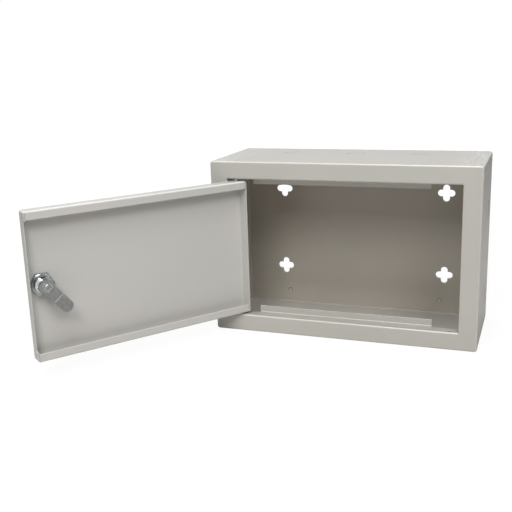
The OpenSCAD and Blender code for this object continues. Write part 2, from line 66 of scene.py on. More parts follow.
LOG = logging.getLogger("enclosure")

Colour = tuple[float, float, float]
Place = tuple[float, float, float]
NodeTree = bpy.types.ShaderNodeTree
Socket = bpy.types.NodeSocket
Shape = bmesh.types.BMesh


class Body(Enum):
    """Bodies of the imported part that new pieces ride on."""

    ENCLOSURE = "enclosure"
    DOOR = "door"


class Kind(Enum):
    """Kinds of value that a node group takes in or puts out."""

    NUMBER = "NodeSocketFloat"
    VECTOR = "NodeSocketVector"


# ---- Colours -------------------------------------------------------------------------------


def linear(value: float) -> float:
    """Turns one screen value from 0 to 1 into a linear one."""
    return value / 12.92 if value <= 0.04045 else ((value + 0.055) / 1.055) ** 2.4


def grey(level: float, warmth: float = 0.0, green: float = 0.0) -> Colour:
    """Gives a linear grey from a level on a screen.

    Args:
        level: Brightness from 0 to 1, as a screen shows it.
        warmth: How much redder than blue the grey is, on the same scale.
        green: How much its green is raised, on the same scale.

    Returns:
        Linear red, green and blue.
    """
    shifts = (RED_SHARE * warmth, green, (RED_SHARE - 1.0) * warmth)
    return tuple(linear(level + shift) for shift in shifts)


def shaded(colour: Colour, factor: float) -> Colour:
    """Darkens or lightens a colour, up to the palest paint."""
    return tuple(min(PALEST, factor * value) for value in colour)


# ---- Wiring --------------------------------------------------------------------------------


@dataclass
class Wiring:
    """A node tree with short ways to add and join nodes.

    Attributes:
        tree: The tree that is being wired.
        column: How many nodes have been added, which sets where the next one lies.
    """

    tree: NodeTree
    column: int = 0

    def add(self, kind: str, **settings: object) -> bpy.types.Node:
        """Adds a node.

        Args:
            kind: Blender's name for the type of node.
            **settings: Properties of the node.

        Returns:
            The new node.
        """
        node = self.tree.nodes.new(kind)
        node.location = (self.column * NODE_STEP, 0)
        self.column += 1
        for name, value in settings.items():
            setattr(node, name, value)
        return node

    def join(self, source: Socket, target: Socket) -> None:
        """Joins an output to an input."""
        self.tree.links.new(source, target)

    def feed(self, target: Socket, value: Socket | Colour | float) -> None:
        """Sets an input to a number or a colour, or joins an output to it.

        Args:
            target: The input.
            value: What it gets.
        """
        if isinstance(value, tuple):
            target.default_value = (*value, 1.0)
        elif isinstance(value, (int, float)):
            target.default_value = value
        else:
            self.join(value, target)

    def on_piece(self) -> Socket:
        """Gives the place on the piece, in the piece's own coordinates."""
        return self.add("ShaderNodeTexCoord").outputs["Object"]

    def split(self, vector: Socket) -> dict[str, Socket]:
        """Splits a vector.

        Args:
            vector: The vector.

        Returns:
            Its parts by the names X, Y and Z.
        """
        node = self.add("ShaderNodeSeparateXYZ")
        self.join(vector, node.inputs["Vector"])
        return dict(node.outputs.items())

    def noise(self, where: Socket, scale: Socket | float, detail: float, roughness: float = 0.5) -> Socket:
        """Adds a noise texture.

        Args:
            where: Coordinates that the noise reads.
            scale: Grains to a metre.
            detail: Octaves.
            roughness: Strength of the fine octaves.

        Returns:
            The noise's value.
        """
        node = self.add("ShaderNodeTexNoise")
        self.feed(node.inputs["Scale"], scale)
        self.feed(node.inputs["Detail"], detail)
        self.feed(node.inputs["Roughness"], roughness)
        self.join(where, node.inputs["Vector"])
        return node.outputs["Fac"]

    def math(self, operation: str, first: Socket | float, second: Socket | float = 0.0) -> Socket:
        """Adds a Math node on two values or sockets.

        Args:
            operation: Blender's name for the operation.
            first: Left value.
            second: Right value.

        Returns:
            The result.
        """
        node = self.add("ShaderNodeMath", operation=operation)
        for socket, value in zip(node.inputs, (first, second)):
            self.feed(socket, value)
        return node.outputs[0]

    def ramp(self, value: Socket, low: float, high: float) -> Socket:
        """Stretches a value from one range to 0 and 1, with soft ends.

        Args:
            value: The value.
            low: What becomes 0.
            high: What becomes 1. It may be the smaller one.

        Returns:
            The stretched value.
        """
        node = self.add("ShaderNodeMapRange", interpolation_type="SMOOTHSTEP")
        self.feed(node.inputs["From Min"], low)
        self.feed(node.inputs["From Max"], high)
        self.join(value, node.inputs["Value"])
        return node.outputs["Result"]

    def mix(self, share: Socket, plain: Socket | Colour, other: Socket | Colour) -> Socket:
        """Mixes two colours.

        Args:
            share: How much of the other colour shows.
            plain: First colour.
            other: Second colour.

        Returns:
            The mixed colour.
        """
        node = self.add("ShaderNodeMix", data_type="RGBA")
        # its sockets go by number, because those for numbers and vectors have the same names
        self.join(share, node.inputs[0])
        self.feed(node.inputs[6], plain)
        self.feed(node.inputs[7], other)
        return node.outputs[2]

    def bump(self, height: Socket, distance: float, normal: Socket | None = None) -> Socket:
        """Turns a height into a normal.

        Args:
            height: Height from 0 to 1.
            distance: What a height of 1 stands for, in metres.
            normal: Normal that the height stands on, if it isn't the piece's own.

        Returns:
            The normal.
        """
        node = self.add("ShaderNodeBump")
        self.feed(node.inputs["Distance"], distance)
        self.join(height, node.inputs["Height"])
        if normal is not None:
            self.join(normal, node.inputs["Normal"])
        return node.outputs["Normal"]

    def blend(self, share: Socket, first: Socket, second: Socket, leave: bpy.types.Node) -> None:
        """Mixes two shaders into the surface of an output node.

        Args:
            share: How much of the second shader shows.
            first: Output of the first shader.
            second: Output of the second shader.
            leave: The output node.
        """
        node = self.add("ShaderNodeMixShader")
        self.join(share, node.inputs["Fac"])
        self.join(first, node.inputs[1])
        self.join(second, node.inputs[2])
        self.join(node.outputs[0], leave.inputs["Surface"])


# ---- Node groups ---------------------------------------------------------------------------


@dataclass
class Group:
    """A shader node group that is being wired.

    Attributes:
        wiring: The group's wiring.
        given: Its inputs by name, as seen inside.
        out: Its outputs by name, as seen inside.
    """

    wiring: Wiring
    given: dict[str, Socket]
    out: dict[str, Socket]

    @classmethod
    def start(cls, name: str, inputs: tuple[str, ...], outputs: dict[str, Kind]) -> Group:
        """Starts a group.

        Args:
            name: Name of the group.
            inputs: Names of its inputs, which are numbers.
            outputs: Names and kinds of its outputs.

        Returns:
            The group with its sockets.
        """
        tree = bpy.data.node_groups.new(name, "ShaderNodeTree")
        for label in inputs:
            tree.interface.new_socket(label, in_out="INPUT", socket_type=Kind.NUMBER.value)
        for label, kind in outputs.items():
            tree.interface.new_socket(label, in_out="OUTPUT", socket_type=kind.value)
        wiring = Wiring(tree)
        entry = wiring.add("NodeGroupInput")
        leave = wiring.add("NodeGroupOutput")
        return cls(wiring, dict(entry.outputs.items()), dict(leave.inputs.items()))

    def finish(self, **values: Socket) -> NodeTree:
        """Fills the outputs.

        Args:
            **values: What each output gets, by its name.

        Returns:
            The group's tree.
        """
        for name, value in values.items():
            self.wiring.join(value, self.out[name])
        return self.wiring.tree


def coat_texture_group() -> NodeTree:
    """Makes the group for the faint orange peel and the clouds of a sprayed coat.

    Returns:
        The group, with a height and a mask.
    """
    outputs = {"Height": Kind.NUMBER, "Cloud": Kind.NUMBER}
    group = Group.start("sprayed_coat", ("Peel Scale", "Cloud Scale"), outputs)
    wiring = group.wiring
    where = wiring.on_piece()
    peel = wiring.noise(where, group.given["Peel Scale"], detail=2.0)
    cloud = wiring.noise(where, group.given["Cloud Scale"], detail=3.0)
    return group.finish(Height=peel, Cloud=wiring.ramp(cloud, low=0.3, high=0.7))


def folded_edge_group() -> NodeTree:
    """Makes the group that rounds the paint over edges and finds folds.

    Returns:
        The group, with the rounded normal, a mask of the level folds that face upwards, and a
        mask of the upright folds between faces that are square to the axes. The paints lay painted
        highlights on both kinds of fold.
    """
    outputs = {"Rounded": Kind.VECTOR, "Fold": Kind.NUMBER, "Corner": Kind.NUMBER}
    group = Group.start("folded_edges", ("Radius",), outputs)
    wiring = group.wiring
    rounding = wiring.add("ShaderNodeBevel", samples=8)
    wiring.join(group.given["Radius"], rounding.inputs["Radius"])
    rounded = rounding.outputs["Normal"]
    parts = wiring.split(rounded)
    up = wiring.math("POWER", wiring.math("MAXIMUM", parts["Z"], 0.0), 2.0)
    slope = wiring.math("MULTIPLY", up, wiring.math("SUBTRACT", 1.0, up))
    across = wiring.math("ABSOLUTE", wiring.math("MULTIPLY", parts["X"], parts["Y"]))
    fold = wiring.ramp(slope, low=0.04, high=0.22)
    return group.finish(Rounded=rounded, Fold=fold, Corner=wiring.ramp(across, low=0.15, high=0.5))


def grime_group() -> NodeTree:
    """Makes the group for dust specks and rubbed marks.

    Returns:
        The group, with a mask of each.
    """
    outputs = {"Specks": Kind.NUMBER, "Smears": Kind.NUMBER}
    group = Group.start("handling_marks", ("Speck Scale", "Smear Scale"), outputs)
    wiring = group.wiring
    where = wiring.on_piece()
    cells = wiring.add("ShaderNodeTexVoronoi")
    wiring.join(where, cells.inputs["Vector"])
    wiring.join(group.given["Speck Scale"], cells.inputs["Scale"])
    near = wiring.ramp(cells.outputs["Distance"], low=0.09, high=0.03)
    rare = wiring.ramp(wiring.noise(where, scale=35.0, detail=1.0), low=0.6, high=0.68)
    smear = wiring.noise(where, group.given["Smear Scale"], detail=5.0, roughness=0.65)
    specks = wiring.math("MULTIPLY", near, rare)
    return group.finish(Specks=specks, Smears=wiring.ramp(smear, low=0.52, high=0.75))


def plating_group() -> NodeTree:
    """Makes the group for the blotches and the fine brushing of a plated surface.

    Returns:
        The group, with a mask and a height.
    """
    outputs = {"Blotch": Kind.NUMBER, "Grain": Kind.NUMBER}
    group = Group.start("plating", ("Blotch Scale", "Grain Scale"), outputs)
    wiring = group.wiring
    where = wiring.on_piece()
    blotch = wiring.noise(where, group.given["Blotch Scale"], detail=4.0)
    grain = wiring.noise(where, group.given["Grain Scale"], detail=2.0)
    return group.finish(Blotch=wiring.ramp(blotch, low=0.32, high=0.68), Grain=grain)


def spot_weld_group() -> NodeTree:
    """Makes the group for the rings of four spot-weld dimples, which the paint darkens with painted shade,
    and for their middles.

    Returns:
        The group, with a mask of the rings and one of their middles.
    """
    outputs = {"Ring": Kind.NUMBER, "Nugget": Kind.NUMBER}
    group = Group.start("spot_weld_rings", ("Across", "Up", "Radius"), outputs)
    wiring = group.wiring
    parts = wiring.split(wiring.on_piece())
    squares = []
    for axis, distance in (("X", "Across"), ("Z", "Up")):
        off = wiring.math("SUBTRACT", wiring.math("ABSOLUTE", parts[axis]), group.given[distance])
        squares.append(wiring.math("POWER", off, 2.0))
    reach = wiring.math("SQRT", wiring.math("ADD", *squares))
    off_ring = wiring.math("ABSOLUTE", wiring.math("SUBTRACT", reach, group.given["Radius"]))
    ring = wiring.ramp(off_ring, low=0.7 * MM, high=0.2 * MM)
    return group.finish(Ring=ring, Nugget=wiring.ramp(reach, low=1.9 * MM, high=0.8 * MM))


def ground_seam_group() -> NodeTree:
    """Makes the group for the scratches that a grinder leaves along the corner seams.

    Returns:
        The group, with a mask that leaves out the faces square to Y.
    """
    outputs = {"Scratches": Kind.NUMBER}
    group = Group.start("ground_seams", ("Half Width", "Half Height", "Reach"), outputs)
    wiring = group.wiring
    where = wiring.on_piece()
    parts = wiring.split(where)
    shares = []
    for axis, half in (("X", "Half Width"), ("Z", "Half Height")):
        inside = wiring.math("SUBTRACT", group.given[half], wiring.math("ABSOLUTE", parts[axis]))
        shares.append(wiring.ramp(wiring.math("DIVIDE", inside, group.given["Reach"]), low=1.0, high=0.15))
    facing = wiring.split(wiring.add("ShaderNodeTexCoord").outputs["Normal"])
    flank = wiring.math("SUBTRACT", 1.0, wiring.math("ABSOLUTE", facing["Y"]))
    near = wiring.math("MULTIPLY", wiring.math("MULTIPLY", *shares), flank)
    turn = wiring.add("ShaderNodeMapping")
    turn.inputs["Rotation"].default_value = (0.0, 0.0, math.radians(NOISE_TURN))
    turn.inputs["Scale"].default_value = (1.0, NOISE_STRETCH, 1.0)
    wiring.join(where, turn.inputs["Vector"])
    streaks = wiring.noise(turn.outputs["Vector"], scale=280.0, detail=3.0, roughness=0.6)
    lines = wiring.ramp(streaks, low=0.42, high=0.62)
    return group.finish(Scratches=wiring.math("MULTIPLY", near, lines))


@dataclass
class EffectGroups:
    """Node groups that several finishes share.

    Attributes:
        coat: Orange peel and clouds of a sprayed coat.
        edges: Rounded edges and folds.
        grime: Dust specks and rubbed marks.
        plating: Blotches and brushing of plated metal.
        welds: Marks of the spot welds.
        seams: Scratches along the ground seams.
    """

    coat: NodeTree = field(default_factory=coat_texture_group)
    edges: NodeTree = field(default_factory=folded_edge_group)
    grime: NodeTree = field(default_factory=grime_group)
    plating: NodeTree = field(default_factory=plating_group)
    welds: NodeTree = field(default_factory=spot_weld_group)
    seams: NodeTree = field(default_factory=ground_seam_group)


def place_group(wiring: Wiring, tree: NodeTree, **values: float) -> dict[str, Socket]:
    """Places a node group in a material.

    Args:
        wiring: The material's wiring.
        tree: The group.
        **values: The group's inputs, with an underscore for a space in a name.

    Returns:
        The group's outputs by name.
    """
    node = wiring.add("ShaderNodeGroup", node_tree=tree)
    for name, value in values.items():
        wiring.feed(node.inputs[name.replace("_", " ")], value)
    return dict(node.outputs.items())


# ---- Finishes ------------------------------------------------------------------------------


@dataclass(frozen=True)
class Finish:
    """What the surface of a piece is finished with.

    Attributes:
        name: Name of the material.
        colour: Colour of the clean surface.
        shade: Colour of its slightly darker or duller clouds.
        roughness: Roughness of the clean surface.
        spread: How much rougher its rubbed or dull places are.
    """

    name: str
    colour: Colour
    shade: Colour
    roughness: float = 0.32
    spread: float = 0.12

    def wire(self, wiring: Wiring, shader: bpy.types.Node, groups: EffectGroups) -> None:
        """Wires the finish to the material's Principled shader."""
        raise NotImplementedError

    def roughen(self, wiring: Wiring, shader: bpy.types.Node, mask: Socket) -> None:
        """Makes the shader rougher where a mask says so."""
        rougher = wiring.math("MULTIPLY", mask, self.spread)
        wiring.join(wiring.math("ADD", rougher, self.roughness), shader.inputs["Roughness"])

    def build(self, groups: EffectGroups) -> bpy.types.Material:
        """Makes the material.

        Args:
            groups: Node groups that the finishes share.

        Returns:
            The material.
        """
        material = bpy.data.materials.new(self.name)
        material.use_nodes = True
        material.node_tree.nodes.clear()
        wiring = Wiring(material.node_tree)
        shader = wiring.add("ShaderNodeBsdfPrincipled")
        leave = wiring.add("ShaderNodeOutputMaterial")
        wiring.join(shader.outputs["BSDF"], leave.inputs["Surface"])
        self.wire(wiring, shader, groups)
        return material


@dataclass(frozen=True)
class SprayedPaint(Finish):
    """Semi-gloss powder coat.

    Attributes:
        gloss: Strength of its reflections, where 0.5 is a clear varnish.
        fold_highlight: How far the painted highlight pales the coat on the level folds that face upwards,
            where the light from above catches them.
        edge_radius: Radius of the coat over an edge, in metres.
        peel: Height of the orange peel in metres.
        peel_scale: Dimples of the orange peel to a metre.
        cloud_scale: Clouds to a metre.
        speck_scale: Specks of dust to a metre.
        smear_scale: Rubbed marks to a metre.
        fold_highlight_level: Brightness of that painted highlight, as a share of the colour's.
        dirt_level: Brightness of a speck, as a share of the shade's.
        speck_cover: How far a speck covers the coat.
    """

    gloss: float = 0.42
    fold_highlight: float = 0.9
    edge_radius: float = 1.0 * MM
    peel: float = 0.01 * MM
    peel_scale: float = 420.0
    cloud_scale: float = 9.0
    speck_scale: float = 60.0
    smear_scale: float = 14.0
    fold_highlight_level: float = 1.45
    dirt_level: float = 0.55
    speck_cover: float = 0.35

    def mark(self, wiring: Wiring, groups: EffectGroups, tint: Socket, corner: Socket) -> Socket:
        """Adds the coat's marks, painted shade and painted highlights to its colour, where it has any."""
        return tint

    def wire(self, wiring: Wiring, shader: bpy.types.Node, groups: EffectGroups) -> None:
        """Wires the coat with its clouds, marks, painted highlights on the folds and specks.

        Args:
            wiring: The material's wiring.
            shader: The material's Principled shader.
            groups: Node groups that the finishes share.
        """
        coat = place_group(wiring, groups.coat, Peel_Scale=self.peel_scale, Cloud_Scale=self.cloud_scale)
        edges = place_group(wiring, groups.edges, Radius=self.edge_radius)
        grime = place_group(wiring, groups.grime, Speck_Scale=self.speck_scale, Smear_Scale=self.smear_scale)
        tint = wiring.mix(coat["Cloud"], self.colour, self.shade)
        tint = self.mark(wiring, groups, tint, edges["Corner"])
        # painted highlight: the level folds that face upwards are paled where the light from above would
        # catch them
        fold_highlight_share = wiring.math("MULTIPLY", edges["Fold"], self.fold_highlight)
        tint = wiring.mix(fold_highlight_share, tint, shaded(self.colour, self.fold_highlight_level))
        specks = wiring.math("MULTIPLY", grime["Specks"], self.speck_cover)
        tint = wiring.mix(specks, tint, shaded(self.shade, self.dirt_level))
        wiring.join(tint, shader.inputs["Base Color"])
        self.roughen(wiring, shader, grime["Smears"])
        normal = wiring.bump(coat["Height"], self.peel, edges["Rounded"])
        wiring.join(normal, shader.inputs["Normal"])
        shader.inputs["Specular IOR Level"].default_value = self.gloss


@dataclass(frozen=True)
class WeldedPaint(SprayedPaint):
    """Powder coat over four spot welds, with painted shade on the rims of their dimples and lighter middles.

    Attributes:
        across: Distance of the welds from the middle, to the sides.
        up: Distance of the welds from the middle, upwards and downwards.
        radius: Radius of a weld's rim.
        rim_shade_level: Brightness of the painted shade on a rim, as a share of the shade's.
        middle_level: Brightness inside a rim, as a share of the colour's.
        rim_shade_cover: How far the painted shade darkens a rim.
    """

    across: float = 95 * MM
    up: float = 83 * MM
    radius: float = 2.5 * MM
    rim_shade_level: float = 0.45
    middle_level: float = 1.15
    rim_shade_cover: float = 0.8

    def mark(self, wiring: Wiring, groups: EffectGroups, tint: Socket, corner: Socket) -> Socket:
        """Darkens the rims of the weld dimples with painted shade and lightens their middles a little.

        Args:
            wiring: The material's wiring.
            groups: Node groups that the finishes share.
            tint: Colour of the coat without marks.
            corner: Mask of the upright folds.

        Returns:
            The colour with the marks.
        """
        welds = place_group(wiring, groups.welds, Across=self.across, Up=self.up, Radius=self.radius)
        tint = wiring.mix(welds["Nugget"], tint, shaded(self.colour, self.middle_level))
        # painted shade: the dimples' rims are darkened where their edges would cast shade
        rim_shading = wiring.math("MULTIPLY", welds["Ring"], self.rim_shade_cover)
        return wiring.mix(rim_shading, tint, shaded(self.shade, self.rim_shade_level))


@dataclass(frozen=True)
class SeamedPaint(SprayedPaint):
    """Powder coat over welded seams that were ground flush, with a painted highlight on its upright folds.

    Attributes:
        half_width: Distance of the sides from the middle.
        half_height: Distance of the top and the bottom from the middle.
        reach: How far from a seam the grinder went.
        scratch_and_highlight_level: Brightness of a grinder's scratch, and of the painted highlight on an
            upright fold, as a share of the colour's.
        scratch_cover: How far the scratches show.
        corner_highlight_cover: How far the painted highlight pales the upright folds.
    """

    half_width: float = 150 * MM
    half_height: float = 100 * MM
    reach: float = 45 * MM
    scratch_and_highlight_level: float = 1.4
    scratch_cover: float = 0.45
    corner_highlight_cover: float = 0.45

    def mark(self, wiring: Wiring, groups: EffectGroups, tint: Socket, corner: Socket) -> Socket:
        """Lightens the grinder's scratches along the seams, and lays a painted highlight on the upright
        folds.

        Args:
            wiring: The material's wiring.
            groups: Node groups that the finishes share.
            tint: Colour of the coat without marks.
            corner: Mask of the upright folds.

        Returns:
            The colour with the marks.
        """
        spans = {"Half_Width": self.half_width, "Half_Height": self.half_height, "Reach": self.reach}
        seams = place_group(wiring, groups.seams, **spans)
        scratch_and_highlight_tint = shaded(self.colour, self.scratch_and_highlight_level)
        tint = wiring.mix(wiring.math("MULTIPLY", seams["Scratches"], self.scratch_cover), tint, scratch_and_highlight_tint)
        # painted highlight: the upright folds are paled where the light catches them
        return wiring.mix(wiring.math("MULTIPLY", corner, self.corner_highlight_cover), tint, scratch_and_highlight_tint)


@dataclass(frozen=True)
class Plated(Finish):
    """Bare or plated metal.

    Attributes:
        grain: Height of the grain in metres.
        grain_scale: Lines of the grain to a metre.
        blotch_scale: Dull blotches to a metre.
    """

    grain: float = 0.002 * MM
    grain_scale: float = 2600.0
    blotch_scale: float = 260.0

    def wire(self, wiring: Wiring, shader: bpy.types.Node, groups: EffectGroups) -> None:
        """Wires the metal with its blotches and its grain.

        Args:
            wiring: The material's wiring.
            shader: The material's Principled shader.
            groups: Node groups that the finishes share.
        """
        scales = {"Blotch_Scale": self.blotch_scale, "Grain_Scale": self.grain_scale}
        plating = place_group(wiring, groups.plating, **scales)
        wiring.join(wiring.mix(plating["Blotch"], self.colour, self.shade), shader.inputs["Base Color"])
        self.roughen(wiring, shader, plating["Blotch"])
        wiring.join(wiring.bump(plating["Grain"], self.grain), shader.inputs["Normal"])
        shader.inputs["Metallic"].default_value = 1.0


BODY_PAINT = SeamedPaint("grey_coat_body", grey(0.734, 0.036, 0.003), grey(0.716, 0.034, 0.01), 0.28, 0.02)
# the rear panel's paint is a darker, warmer copy of the body's: painted shade for the inside of the box
SHADED_PANEL_PAINT = WeldedPaint("grey_coat_panel_shaded", grey(0.712, 0.074, -0.005), grey(0.697, 0.07, 0.005), 0.3, 0.04)
# the door's paint is a lighter copy of the body's: painted light for how the lamps fall on the door
LIT_DOOR_PAINT = SprayedPaint("grey_coat_door_lit", grey(0.78, 0.024, 0.001), grey(0.766, 0.02, 0.009), 0.28, 0.02)
BEAD_PAINT = SprayedPaint("grey_coat_bead", grey(0.72, 0.05), grey(0.7, 0.05), fold_highlight=0.1)
CHROME = Plated("chrome_plate", grey(0.86), grey(0.82), 0.08, 0.08)
NICKEL = Plated("nickel_plate", grey(0.7, -0.03, 0.01), grey(0.56, -0.03, 0.01), 0.2, 0.12)
ZINC = Plated("zinc_plate", grey(0.76, -0.01), grey(0.7, -0.01), 0.27, 0.14)
SCREW_STEEL = Plated("screw_plate", grey(0.72, -0.01, 0.004), grey(0.6, -0.01, 0.004), 0.18, 0.1)
CAM_ZINC = Plated("cam_plate", grey(0.6, -0.004, 0.004), grey(0.54, -0.004, 0.004), 0.34, 0.12)
BRASS = Plated("brass", (0.72, 0.5, 0.2), (0.6, 0.4, 0.16), 0.25, 0.15)
SPRING = Plated("spring_steel", grey(0.5), grey(0.42), 0.3, 0.2)


@dataclass
class Finishes:
    """Builds each finish once and puts it on nodes and pieces.

    Attributes:
        groups: Node groups that the finishes share.
        made: Materials that are built, by name.
    """

    groups: EffectGroups = field(default_factory=EffectGroups)
    made: dict[str, bpy.types.Material] = field(default_factory=dict)

    def get(self, finish: Finish) -> bpy.types.Material:
        """Gives a finish's material.

        Args:
            finish: The finish.

        Returns:
            Its material, which is made the first time.
        """
        if finish.name not in self.made:
            self.made[finish.name] = finish.build(self.groups)
        return self.made[finish.name]

    def dress(self, thing: bpy.types.Object, finish: Finish) -> None:
        """Puts a finish on every material slot of an object.

        Args:
            thing: The object.
            finish: The finish.
        """
        material = self.get(finish)
        if not thing.material_slots:
            thing.data.materials.append(material)
        for slot in thing.material_slots:
            slot.material = material
        LOG.info("%s is finished in %s", thing.name, finish.name)


# ---- New pieces ----------------------------------------------------------------------------


def object_from(shape: Shape, name: str) -> bpy.types.Object:
    """Makes an object of a shape and puts it in the scene.

    Args:
        shape: The shape, which is freed.
        name: Name of the object and of its mesh.

    Returns:
        The object.
    """
    mesh = bpy.data.meshes.new(name)
    shape.to_mesh(mesh)
    shape.free()
    thing = bpy.data.objects.new(name, mesh)
    bpy.context.scene.collection.objects.link(thing)
    return thing


@dataclass
class PanelBead:
    """Fillet of paint in the corner between the rear panel and the body's walls.

    Attributes:
        low: Lower left corner of the recess over the panel, as seen from the front.
        high: Its upper right corner.
        size: How far the fillet reaches on each face.
        sunk: How far it lies inside the sheets.
    """

    low: Vector
    high: Vector
    size: float = 1.6 * MM
    sunk: float = 0.05 * MM

    @classmethod
    def between(cls, shell: str, panel: str) -> PanelBead:
        """Places a fillet from the boxes of two nodes of the same sheet.

        Args:
            shell: Name of the body's node.
            panel: Name of the panel's node.

        Returns:
            The fillet.
        """
        shell_low, shell_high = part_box(shell)
        panel_low, panel_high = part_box(panel)
        sheet = panel_high.y - panel_low.y
        low = Vector((shell_low.x + sheet, panel_low.y, shell_low.z + sheet))
        return cls(low, Vector((shell_high.x - sheet, panel_low.y, shell_high.z - sheet)))

    def ring(self, shape: Shape, inset: float, depth: float) -> list[bmesh.types.BMEdge]:
        """Adds one upright rectangle of edges.

        Args:
            shape: The fillet's shape.
            inset: How far the rectangle lies inside the recess.
            depth: How far it lies in front of the panel.

        Returns:
            Its edges.
        """
        half = (self.high - self.low) / 2
        middle = (self.low + self.high) / 2
        loop = bmesh.ops.create_circle(shape, cap_ends=False, segments=4, radius=math.sqrt(2.0))["verts"]
        for axis, degrees in (("Z", 45), ("X", 90)):
            turn = Matrix.Rotation(math.radians(degrees), 3, axis)
            bmesh.ops.rotate(shape, verts=loop, cent=(0, 0, 0), matrix=turn)
        bmesh.ops.scale(shape, verts=loop, vec=(half.x - inset, 1.0, half.z - inset))
        bmesh.ops.translate(shape, verts=loop, vec=(middle.x, self.low.y - depth, middle.z))
        return list({edge for vert in loop for edge in vert.link_edges})

    def build(self, finishes: Finishes) -> bpy.types.Object:
        """Makes the fillet of three rectangles and lets it ride on the enclosure.

        Args:
            finishes: Finishes of the whole part.

        Returns:
            The fillet.
        """
        shape = bmesh.new()
        places = ((-self.sunk, -self.sunk), (self.size, -self.sunk), (-self.sunk, self.size))
        rings = [self.ring(shape, inset, depth) for inset, depth in places]
        for first, second in ((0, 1), (1, 2), (2, 0)):
            bmesh.ops.bridge_loops(shape, edges=rings[first] + rings[second])
        bmesh.ops.recalc_face_normals(shape, faces=shape.faces)
        piece = object_from(shape, "panel_bead")
        finishes.dress(piece, BEAD_PAINT)
        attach(piece, Body.ENCLOSURE.value)
        return piece


@dataclass
class CaseThread:
    """Thread on the lock's case, from the nut to the cam.

    Attributes:
        place: A point on the lock's axis, level with the door's outer face.
        inwards: Direction of the axis, into the box.
        radius: Radius of the case.
        flats: Distance between its two flats.
        start: Where the thread starts, measured inwards.
        turns: How many turns it has.
        pitch: Distance from one turn to the next.
        ridge: Distance from the middle of the ridge's section to its corners.
        lift: How far that middle lies off the case, as a share of the ridge.
        steps: Sections in one turn.
        hair: Distance within which a point counts as lying on a flat.
    """

    place: Vector
    inwards: Vector
    radius: float = 8.0 * MM
    flats: float = 15.0 * MM
    start: float = 6.6 * MM
    turns: int = 8
    pitch: float = 1.0 * MM
    ridge: float = 0.32 * MM
    lift: float = 0.25
    steps: int = 36
    hair: float = 0.0001 * MM

    def to_part(self) -> Matrix:
        """Gives the matrix from the lock's own frame, which lies along +Z, to the part's.

        Returns:
            The matrix.
        """
        down = Vector((0.0, 0.0, -1.0))
        turned = Matrix((down.cross(self.inwards), down, self.inwards)).transposed().to_4x4()
        return Matrix.Translation(self.place) @ turned

    def sweep(self, shape: Shape) -> None:
        """Sweeps a three-cornered ridge along the helix.

        Args:
            shape: The thread's shape.
        """
        steps = self.steps * self.turns
        ridge = bmesh.ops.create_circle(shape, cap_ends=True, segments=3, radius=self.ridge)["verts"]
        upright = Matrix.Rotation(math.radians(90), 3, "Y") @ Matrix.Rotation(math.radians(90), 3, "X")
        bmesh.ops.rotate(shape, verts=ridge, cent=(0, 0, 0), matrix=upright)
        middle = self.radius + self.lift * self.ridge
        bmesh.ops.translate(shape, verts=ridge, vec=(middle, 0, self.start))
        bmesh.ops.spin(
            shape,
            geom=shape.verts[:] + shape.edges[:] + shape.faces[:],
            cent=(0, 0, 0),
            axis=(0, 0, 1),
            dvec=(0, 0, self.pitch * self.turns / steps),
            angle=2 * math.pi * self.turns,
            steps=steps,
        )

    def cut_flats(self, shape: Shape) -> None:
        """Cuts the ridge off along the flats of the case and closes the cuts.

        Args:
            shape: The thread's shape.
        """
        for side in (-1, 1):
            bmesh.ops.bisect_plane(
                shape,
                geom=shape.verts[:] + shape.edges[:] + shape.faces[:],
                dist=self.hair,
                plane_co=(0, side * self.flats / 2, 0),
                plane_no=(0, side, 0),
                clear_outer=True,
            )
        rim_shading = [edge for edge in shape.edges if edge.is_boundary]
        bmesh.ops.holes_fill(shape, edges=rim_shading, sides=0)
        bmesh.ops.recalc_face_normals(shape, faces=shape.faces)

    def build(self, finishes: Finishes) -> bpy.types.Object:
        """Makes the thread and lets it ride on the door.

        Args:
            finishes: Finishes of the whole part.

        Returns:
            The thread.
        """
        shape = bmesh.new()
        self.sweep(shape)
        self.cut_flats(shape)
        bmesh.ops.transform(shape, matrix=self.to_part(), verts=shape.verts)
        piece = object_from(shape, "case_thread")
        finishes.dress(piece, CHROME)
        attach(piece, Body.DOOR.value)
        return piece


# ---- Sub-assemblies ------------------------------------------------------------------------


@dataclass
class SubAssembly:
    """A sub-assembly whose nodes come from the frame.

    Attributes:
        nodes: The frame's objects by name.
        finishes: Finishes of the whole part.
    """

    nodes: dict[str, bpy.types.Object]
    finishes: Finishes

    def coats(self) -> dict[str, Finish]:
        """Says which finish each of its nodes has."""
        raise NotImplementedError

    def build(self) -> None:
        """Dresses the nodes."""
        for name, finish in self.coats().items():
            self.finishes.dress(self.nodes[name], finish)


@dataclass
class EnclosureBody(SubAssembly):
    """The painted box that hangs on the wall."""

    def coats(self) -> dict[str, Finish]:
        """Says which finish each of its nodes has."""
        return {"body_shell": BODY_PAINT, "back_panel": SHADED_PANEL_PAINT, "hinge_spacer": ZINC}


@dataclass
class Door(SubAssembly):
    """The door with its hinge pins."""

    def coats(self) -> dict[str, Finish]:
        """Says which finish each of its nodes has.

        Returns:
            Finishes by the nodes' names.
        """
        pins = {name: ZINC for name in ("upper_hinge_pin", "lower_hinge_pin")}
        clips = {name: SPRING for name in ("upper_pin_clip", "lower_pin_clip")}
        return {"door_panel": LIT_DOOR_PAINT, **pins, **clips}


